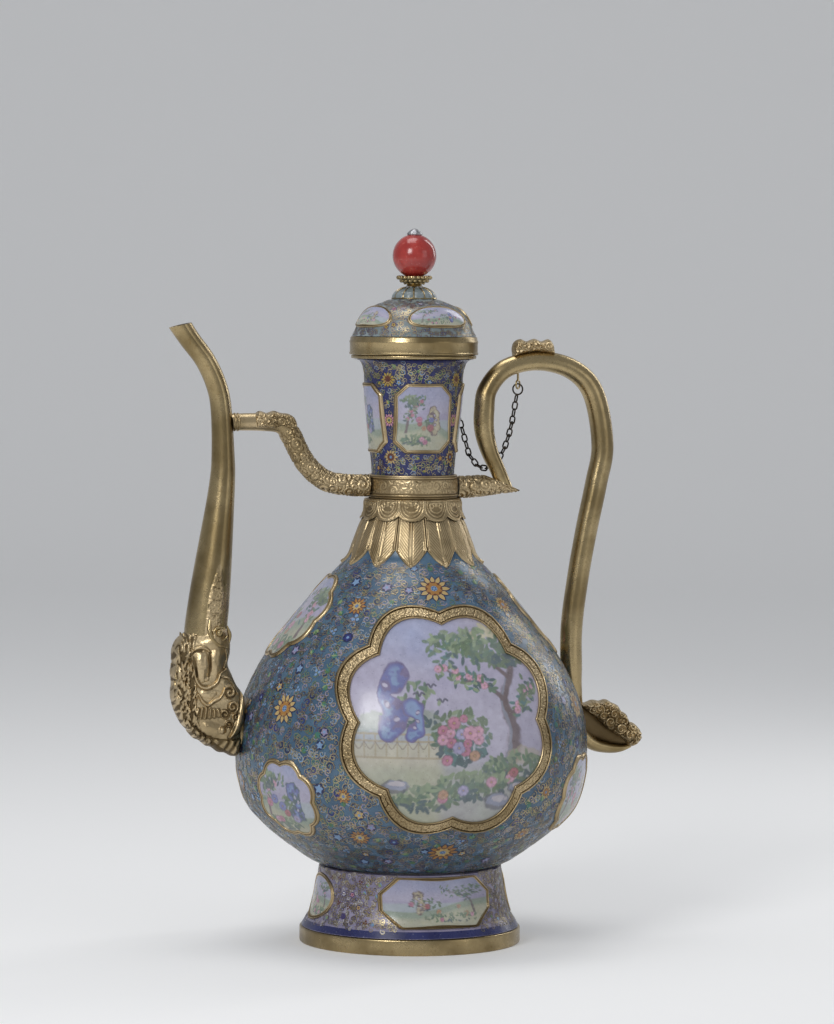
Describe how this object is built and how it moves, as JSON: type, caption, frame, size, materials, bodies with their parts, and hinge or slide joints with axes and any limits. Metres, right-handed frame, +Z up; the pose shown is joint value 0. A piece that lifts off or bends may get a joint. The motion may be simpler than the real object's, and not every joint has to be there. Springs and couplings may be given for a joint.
{
  "type": "cloisonne ewer",
  "caption": "Lidded wine ewer of gilt copper with cloisonne and painted enamel, a tall curved spout on a dragon's head, a looped handle and a chain to the lid.",
  "frame": {"origin": "on the surface it stands on, under the middle of its outline; the vessel's own axis is 2 mm towards +X from it and no distance along Y", "axes": "+Z up along the vessel's axis, spout towards -X, handle towards +X, main medallion facing -Y"},
  "size_m": [0.2676, 0.1948, 0.39],
  "materials": {
    "gilt": "satin gilt copper",
    "chased_gilt": "chased gilt copper",
    "turquoise_enamel": "glossy cloisonne enamel",
    "cobalt_enamel": "glossy cloisonne enamel",
    "lilac_enamel": "glossy cloisonne enamel",
    "celadon_enamel": "glossy cloisonne enamel",
    "painted_enamel": "glossy painted enamel",
    "coral": "polished",
    "silver_metal": "polished",
    "chain_metal": "dark tarnished"
  },
  "bodies": {
    "vessel": {"body_shell": "turquoise_enamel", "neck_tube": "cobalt_enamel", "mouth_rim": "gilt", "foot_rim": "gilt", "foot_ring": "lilac_enamel", "collar_band": "chased_gilt", "leaf_collar": "chased_gilt", "spout_tube": "gilt", "spout_dragon_head": "chased_gilt", "spout_strut": "chased_gilt", "strut_cloud": "chased_gilt", "handle_tube": "gilt", "handle_arm": "chased_gilt", "handle_cloud": "chased_gilt", "handle_lower_mount": "chased_gilt", "medallion_frame_front": "chased_gilt", "medallion_frame_back": "chased_gilt", "medallion_plaque_front": "painted_enamel", "medallion_plaque_back": "painted_enamel", "body_panel_1": "painted_enamel", "body_panel_2": "painted_enamel", "body_panel_3": "painted_enamel", "body_panel_4": "painted_enamel", "shoulder_panel_1": "painted_enamel", "shoulder_panel_2": "painted_enamel", "neck_panel_1": "painted_enamel", "neck_panel_2": "painted_enamel", "neck_panel_3": "painted_enamel", "neck_panel_4": "painted_enamel", "foot_wide_panel_1": "painted_enamel", "foot_wide_panel_2": "painted_enamel", "foot_round_panel_1": "painted_enamel", "foot_round_panel_2": "painted_enamel", "handle_eye": "gilt"},
    "lid": {"lid_rim": "gilt", "lid_flange": "gilt", "lid_dome": "celadon_enamel", "lid_panel_1": "painted_enamel", "lid_panel_2": "painted_enamel", "lid_panel_3": "painted_enamel", "lid_panel_4": "painted_enamel", "lid_crown": "lilac_enamel", "finial_seat": "gilt", "coral_bead": "coral", "finial_cap": "silver_metal", "finial_pin": "gilt", "finial_nut": "gilt", "lid_eye": "gilt"},
    "chain_01": {"chain_run_01": "chain_metal"},
    "chain_02": {"chain_run_02": "chain_metal"},
    "chain_03": {"chain_run_03": "chain_metal", "chain_run_04": "chain_metal", "chain_run_05": "chain_metal"},
    "chain_04": {"chain_run_06": "chain_metal", "chain_run_07": "chain_metal", "chain_run_08": "chain_metal"},
    "chain_05": {"chain_run_09": "chain_metal", "chain_run_10": "chain_metal"},
    "chain_06": {"chain_run_11": "chain_metal"},
    "chain_07": {"chain_run_12": "chain_metal"}
  },
  "joints": [
    {"name": "lid_lift", "type": "slide", "parent": "vessel", "child": "lid", "axis": [0, 0, 1], "range_m": [0, 0.025]},
    {"name": "chain_hinge_01", "type": "hinge", "parent": "lid", "child": "chain_01", "pos_m": [0.02737, 0.02737, 0.3221], "axis": [-0.6542, -0.7563, 0], "range_deg": [-4.5, 0]},
    {"name": "chain_hinge_02", "type": "hinge", "parent": "chain_01", "child": "chain_02", "pos_m": [0.03056, 0.0246, 0.29179], "axis": [-0.6542, -0.7563, 0], "range_deg": [-7, 0]},
    {"name": "chain_hinge_03", "type": "hinge", "parent": "chain_02", "child": "chain_03", "pos_m": [0.03669, 0.0193, 0.26583], "axis": [-0.6542, -0.7563, 0], "range_deg": [-27, 0]},
    {"name": "chain_hinge_04", "type": "hinge", "parent": "chain_03", "child": "chain_04", "pos_m": [0.04477, 0.01231, 0.25858], "axis": [-0.6542, -0.7563, 0], "range_deg": [-27, 0]},
    {"name": "chain_hinge_05", "type": "hinge", "parent": "chain_04", "child": "chain_05", "pos_m": [0.05057, 0.00729, 0.26394], "axis": [-0.6542, -0.7563, 0], "range_deg": [0, 22]},
    {"name": "chain_hinge_06", "type": "hinge", "parent": "chain_05", "child": "chain_06", "pos_m": [0.05499, 0.00347, 0.27705], "axis": [-0.6542, -0.7563, 0], "range_deg": [0, 24.5]},
    {"name": "chain_hinge_07", "type": "hinge", "parent": "chain_06", "child": "chain_07", "pos_m": [0.05639, 0.00226, 0.28402], "axis": [-0.6542, -0.7563, 0], "range_deg": [0, 12.5]}
  ],
  "couplings": [
    {"joint": "chain_hinge_01", "follows": "lid_lift", "rad_per_m": -2.865},
    {"joint": "chain_hinge_02", "follows": "lid_lift", "rad_per_m": -4.56},
    {"joint": "chain_hinge_03", "follows": "lid_lift", "rad_per_m": -18.453},
    {"joint": "chain_hinge_04", "follows": "lid_lift", "rad_per_m": -18.563},
    {"joint": "chain_hinge_05", "follows": "lid_lift", "rad_per_m": 15.187},
    {"joint": "chain_hinge_06", "follows": "lid_lift", "rad_per_m": 17.017},
    {"joint": "chain_hinge_07", "follows": "lid_lift", "rad_per_m": 8.339}
  ]
}
